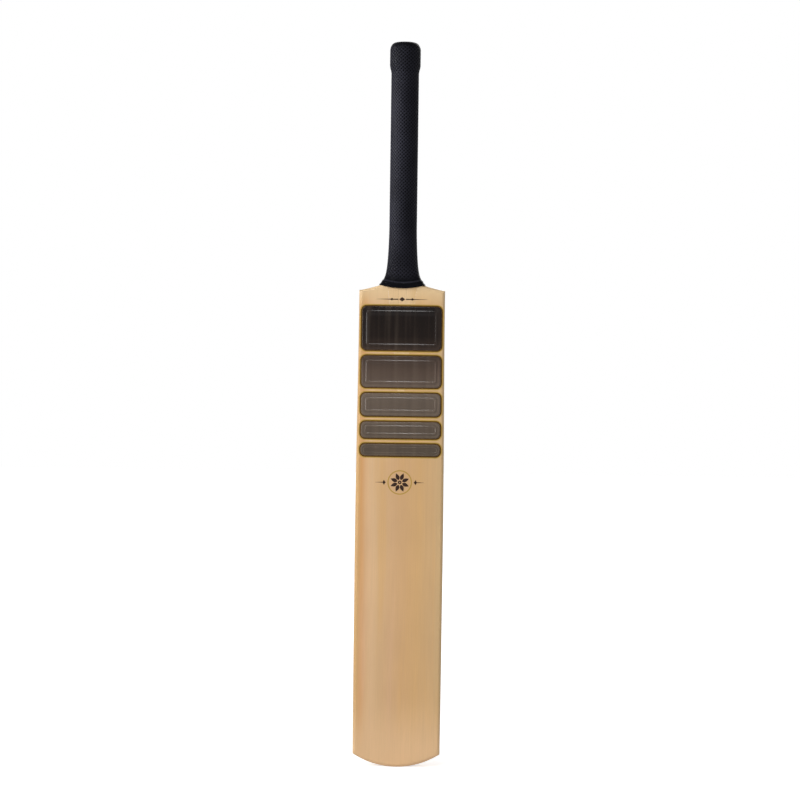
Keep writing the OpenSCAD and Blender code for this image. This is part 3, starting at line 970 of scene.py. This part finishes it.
def brown_material():
    """Dark golden-brown printing ink."""
    s = Shader("print_brown")
    grain = s.noise((1800, 1800, 1800), 2.0)
    colour = s.ramp(grain, [(0.3, "3f2b06"), (0.7, "56390c")])
    relief = s.bump(grain, INK_DEPTH, INK_RELIEF)
    return s.finish(Base_Color=colour, Roughness=0.5, Normal=relief, Specular_IOR_Level=0.1)


def ink_material():
    """Dark brown printing ink, thinner here and there."""
    s = Shader("print_ink")
    grain = s.noise((1500, 1500, 1500), 3.0)
    colour = s.ramp(grain, [(0.25, "241813"), (0.75, "3b2a22")])
    relief = s.bump(grain, INK_DEPTH, INK_RELIEF)
    return s.finish(Base_Color=colour, Roughness=0.5, Normal=relief, Specular_IOR_Level=0.1)


# Generic printed ornaments: a rule with lozenges at the top and a rosette with wings below the labels

TOP_RULE_Z = 0.5475
TOP_RULE_RUN = (0.0045, 0.030)
TOP_RULE_TAPER = (0.0007, 0.0001)
TOP_LOZENGE = (0.0036, 0.0026)
TOP_SIDE_X = 0.012
TOP_SIDE_LOZENGE = (0.0022, 0.0016)
ROSETTE_Z = 0.333
ROSETTE_R = 0.013
ROSETTE_RING_W = 0.0014
ROSETTE_EYE = (0.0006, 0.0022)
PETALS = 8
PETAL_START = 0.003
PETAL_L = ROSETTE_R - 0.0045
PETAL_HALF_W = 0.0022
PETAL_SKEW = 0.8
PETAL_TIP = 1 / 30
WING_RUN = (0.0165, 0.0285)
WING_TAPER = (0.0006, 0.0001)
WING_LOZENGE_X = 0.0185
WING_LOZENGE = (0.0018, 0.0030)
STRIP_STEPS = 12
LOZENGE_STEPS = 10
LOZENGE_TIP = 1 / 40
RING_STEPS = 72
# The side lozenges are printed over the rules
OVERPRINT = {"low": PRINT_T, "high": 1.5 * PRINT_T}


def edges_about(xs, z, halves):
    """Lower and upper edge of a strip, at half heights below and above a level."""
    return [[(x, z + side * half) for x, half in zip(xs, halves)] for side in (-1, 1)]


def rule_strip(side, run, z, taper):
    """Edges of a straight rule on one side of the axis that tapers from one half height to another."""
    shares = [i / STRIP_STEPS for i in range(STRIP_STEPS + 1)]
    return edges_about([side * mix(*run, t) for t in shares], z, [mix(*taper, t) for t in shares])


def lozenge_strip(x, z, half_w, half_h):
    shares = [mix(-1, 1, i / LOZENGE_STEPS) for i in range(LOZENGE_STEPS + 1)]
    halves = [max(half_h * (1 - abs(t)), half_h * LOZENGE_TIP) for t in shares]
    return edges_about([x + half_w * t for t in shares], z, halves)


def ring_strip(z, inner, outer):
    turns = [2 * math.pi * i / RING_STEPS for i in range(RING_STEPS)]
    return [[(r * math.cos(t), z + r * math.sin(t)) for t in turns] for r in (outer, inner)]


def petal_strip(turn):
    """Edges of one petal of the rosette, which points away from its middle at a turn."""
    cosine, sine = math.cos(turn), math.sin(turn)
    edges = []
    for side in (-1, 1):
        edge = []
        for i in range(STRIP_STEPS + 1):
            t = i / STRIP_STEPS
            out = PETAL_START + PETAL_L * t
            off = side * max(PETAL_HALF_W * math.sin(math.pi * t**PETAL_SKEW), PETAL_HALF_W * PETAL_TIP)
            edge.append((out * cosine - off * sine, ROSETTE_Z + out * sine + off * cosine))
        edges.append(edge)
    return edges


def draw_top_rule(points, faces):
    for side in (-1, 1):
        strip_solid(points, faces, *rule_strip(side, TOP_RULE_RUN, TOP_RULE_Z, TOP_RULE_TAPER))
        lozenge = lozenge_strip(side * TOP_SIDE_X, TOP_RULE_Z, *TOP_SIDE_LOZENGE)
        strip_solid(points, faces, *lozenge, **OVERPRINT)
    strip_solid(points, faces, *lozenge_strip(0.0, TOP_RULE_Z, *TOP_LOZENGE))


def draw_rosette(points, faces):
    for i in range(PETALS):
        strip_solid(points, faces, *petal_strip(2 * math.pi * (i + 0.5) / PETALS))
    strip_solid(points, faces, *ring_strip(ROSETTE_Z, *ROSETTE_EYE), closed=True)
    for side in (-1, 1):
        strip_solid(points, faces, *rule_strip(side, WING_RUN, ROSETTE_Z, WING_TAPER))
        lozenge = lozenge_strip(side * WING_LOZENGE_X, ROSETTE_Z, *WING_LOZENGE)
        strip_solid(points, faces, *lozenge, **OVERPRINT)


def draw_rosette_ring(points, faces):
    ring = ring_strip(ROSETTE_Z, ROSETTE_R, ROSETTE_R + ROSETTE_RING_W)
    strip_solid(points, faces, *ring, closed=True)


# Carried-over CAD pieces


def dress(name, material):
    """Gives a CAD node a finish and smooth normals, with its own points as they are."""
    node = cad_nodes[name]
    node.data.materials.clear()
    node.data.materials.append(material)
    if "custom_normal" in node.data.attributes:
        node.data.attributes.remove(node.data.attributes["custom_normal"])
    node.data.shade_smooth()
    weld = node.modifiers.new("weld", "WELD")
    weld.merge_threshold = CAD_WELD
    split = node.modifiers.new("split", "EDGE_SPLIT")
    split.split_angle = CAD_SPLIT_ANGLE


# Studio

CAMERA_DISTANCE = 3.0
PICTURE_W = 0.9362
CAMERA_PLACE = (-0.00094, 0.4296)
CAMERA_ROLL = math.radians(0.78)
SENSOR_W = 36.0
AMBIENT = 0.24
FLOOR_LIFT = 0.62
FLOOR_NEAR_R = 0.9
FLOOR_FAR_R = 2.2
FLOOR_REACH = 12.0
LAMP_AIM = (0, 0, 0.45)
# Name, place, size and watts
LAMPS = (
    ("key", (-1.3, -2.0, 1.9), (1.3, 1.3), 25),
    ("spark", (-1.5, -1.9, 1.7), (0.3, 0.3), 9),
    ("side", (-2.2, -0.5, 0.9), (0.5, 1.3), 17),
    ("fill", (1.4, -2.6, 1.0), (1.2, 1.6), 5),
    ("top_strip", (0, -1.48, 1.8), (0.24, 0.3), 5.0),
    ("left_strip", (-1.35, -1.48, 0.46), (0.22, 0.42), 5.8),
    ("back", (0.9, 2.2, 1.9), (1.5, 1.5), 24),
)
# A narrow lamp at the left that lights the grip alone
SPOT_PLACE = (-1.6, -0.35, 1.15)
SPOT_AIM = (0, AXIS_Y, 0.715)
SPOT_CONE = math.radians(9.5)
SPOT_SOFT_EDGE = 0.5
SPOT_R = 0.06
SPOT_WATTS = 210


def seen_directly(tree):
    """1 for rays that show the background itself: camera, glossy and transmission rays."""
    path = tree.nodes.new("ShaderNodeLightPath")
    total = path.outputs["Is Camera Ray"]
    for kind in ("Is Glossy Ray", "Is Transmission Ray"):
        larger = tree.nodes.new("ShaderNodeMath")
        larger.operation = "MAXIMUM"
        tree.links.new(total, larger.inputs[0])
        tree.links.new(path.outputs[kind], larger.inputs[1])
        total = larger.outputs[0]
    return total


def build_world():
    world = bpy.data.worlds.new("studio")
    bpy.context.scene.world = world
    world.use_nodes = True
    tree = world.node_tree
    strength = tree.nodes.new("ShaderNodeMapRange")
    tree.links.new(seen_directly(tree), strength.inputs[0])
    strength.inputs[3].default_value = AMBIENT
    strength.inputs[4].default_value = 1.0
    background = tree.nodes["Background"]
    background.inputs["Color"].default_value = (1, 1, 1, 1)
    tree.links.new(strength.outputs[0], background.inputs["Strength"])


def floor_material():
    """White floor that takes the bat's shadow near the bat and fades into the backdrop further out."""
    s = Shader("floor_white")
    x, y, _ = s.split()
    radius = s.math("SQRT", s.math("ADD", s.math("MULTIPLY", x, x), s.math("MULTIPLY", y, y)))
    far = s.span(radius, FLOOR_NEAR_R, FLOOR_FAR_R)
    lift = s.span(far, 0.0, 1.0, FLOOR_LIFT, 1.0)
    glow = s.node(
        "ShaderNodeEmission", {"Strength": s.math("MULTIPLY", lift, seen_directly(s.material.node_tree))}
    ).outputs[0]
    grain = s.noise((3, 3, 3), 2.0)
    plain = s.node("ShaderNodeBsdfDiffuse", {"Color": s.ramp(grain, [(0.0, "e6e6e6"), (1.0, "ebebeb")])})
    both = s.node("ShaderNodeAddShader", {0: glow, 1: plain.outputs[0]}).outputs[0]
    s.nodes.remove(s.surface)
    s.links.new(both, s.nodes["Material Output"].inputs["Surface"])
    return s.material


def build_floor():
    mesh = bpy.data.meshes.new("floor")
    corners = [(FLOOR_REACH * x, FLOOR_REACH * y, 0) for x, y in ((-1, -1), (1, -1), (1, 1), (-1, 1))]
    mesh.from_pydata(corners, [], [(0, 1, 2, 3)])
    mesh.materials.append(floor_material())
    floor = bpy.data.objects.new("floor", mesh)
    bpy.context.scene.collection.objects.link(floor)


def aim_lamp(name, lamp, place, aim):
    holder = bpy.data.objects.new(name, lamp)
    holder.location = place
    holder.rotation_euler = (Vector(aim) - Vector(place)).to_track_quat("-Z", "Y").to_euler()
    bpy.context.scene.collection.objects.link(holder)


def build_lamp(name, place, size, watts):
    lamp = bpy.data.lights.new(name, "AREA")
    lamp.shape = "RECTANGLE"
    lamp.size, lamp.size_y = size
    lamp.energy = watts
    aim_lamp(name, lamp, place, LAMP_AIM)


def build_spot(name):
    lamp = bpy.data.lights.new(name, "SPOT")
    lamp.energy = SPOT_WATTS
    lamp.spot_size = SPOT_CONE
    lamp.spot_blend = SPOT_SOFT_EDGE
    lamp.shadow_soft_size = SPOT_R
    aim_lamp(name, lamp, SPOT_PLACE, SPOT_AIM)


def build_camera():
    camera = bpy.data.cameras.new("camera")
    camera.sensor_width = SENSOR_W
    camera.lens = SENSOR_W * CAMERA_DISTANCE / PICTURE_W
    holder = bpy.data.objects.new("camera", camera)
    x, z = CAMERA_PLACE
    look = Matrix.Rotation(math.radians(90), 4, "X") @ Matrix.Rotation(CAMERA_ROLL, 4, "Z")
    holder.matrix_world = Matrix.Translation((x, FACE_Y - CAMERA_DISTANCE, z)) @ look
    bpy.context.scene.collection.objects.link(holder)
    bpy.context.scene.camera = holder


build_blade(willow_material())
build_grip(rubber_material())
film = film_material()
for label in label_names:
    build_label(label, film)
gold, ink = gold_material(), ink_material()
build_print("label_outlines", brown_material(), draw_outlines)
build_print("label_keylines", gold, draw_keylines)
build_print("top_rule", ink, draw_top_rule)
build_print("rosette", ink, draw_rosette)
build_print("rosette_ring", gold, draw_rosette_ring)
finishes = {"cane_": cane_material(), "rubber_spring_": spring_material(), "handle_binding": twine_material()}
for prefix, finish in finishes.items():
    for node_name in cad_nodes:
        if node_name.startswith(prefix):
            dress(node_name, finish)

build_world()
build_floor()
build_camera()
for lamp_values in LAMPS:
    build_lamp(*lamp_values)
build_spot("grip_spot")
bpy.context.scene.view_settings.view_transform = "Standard"
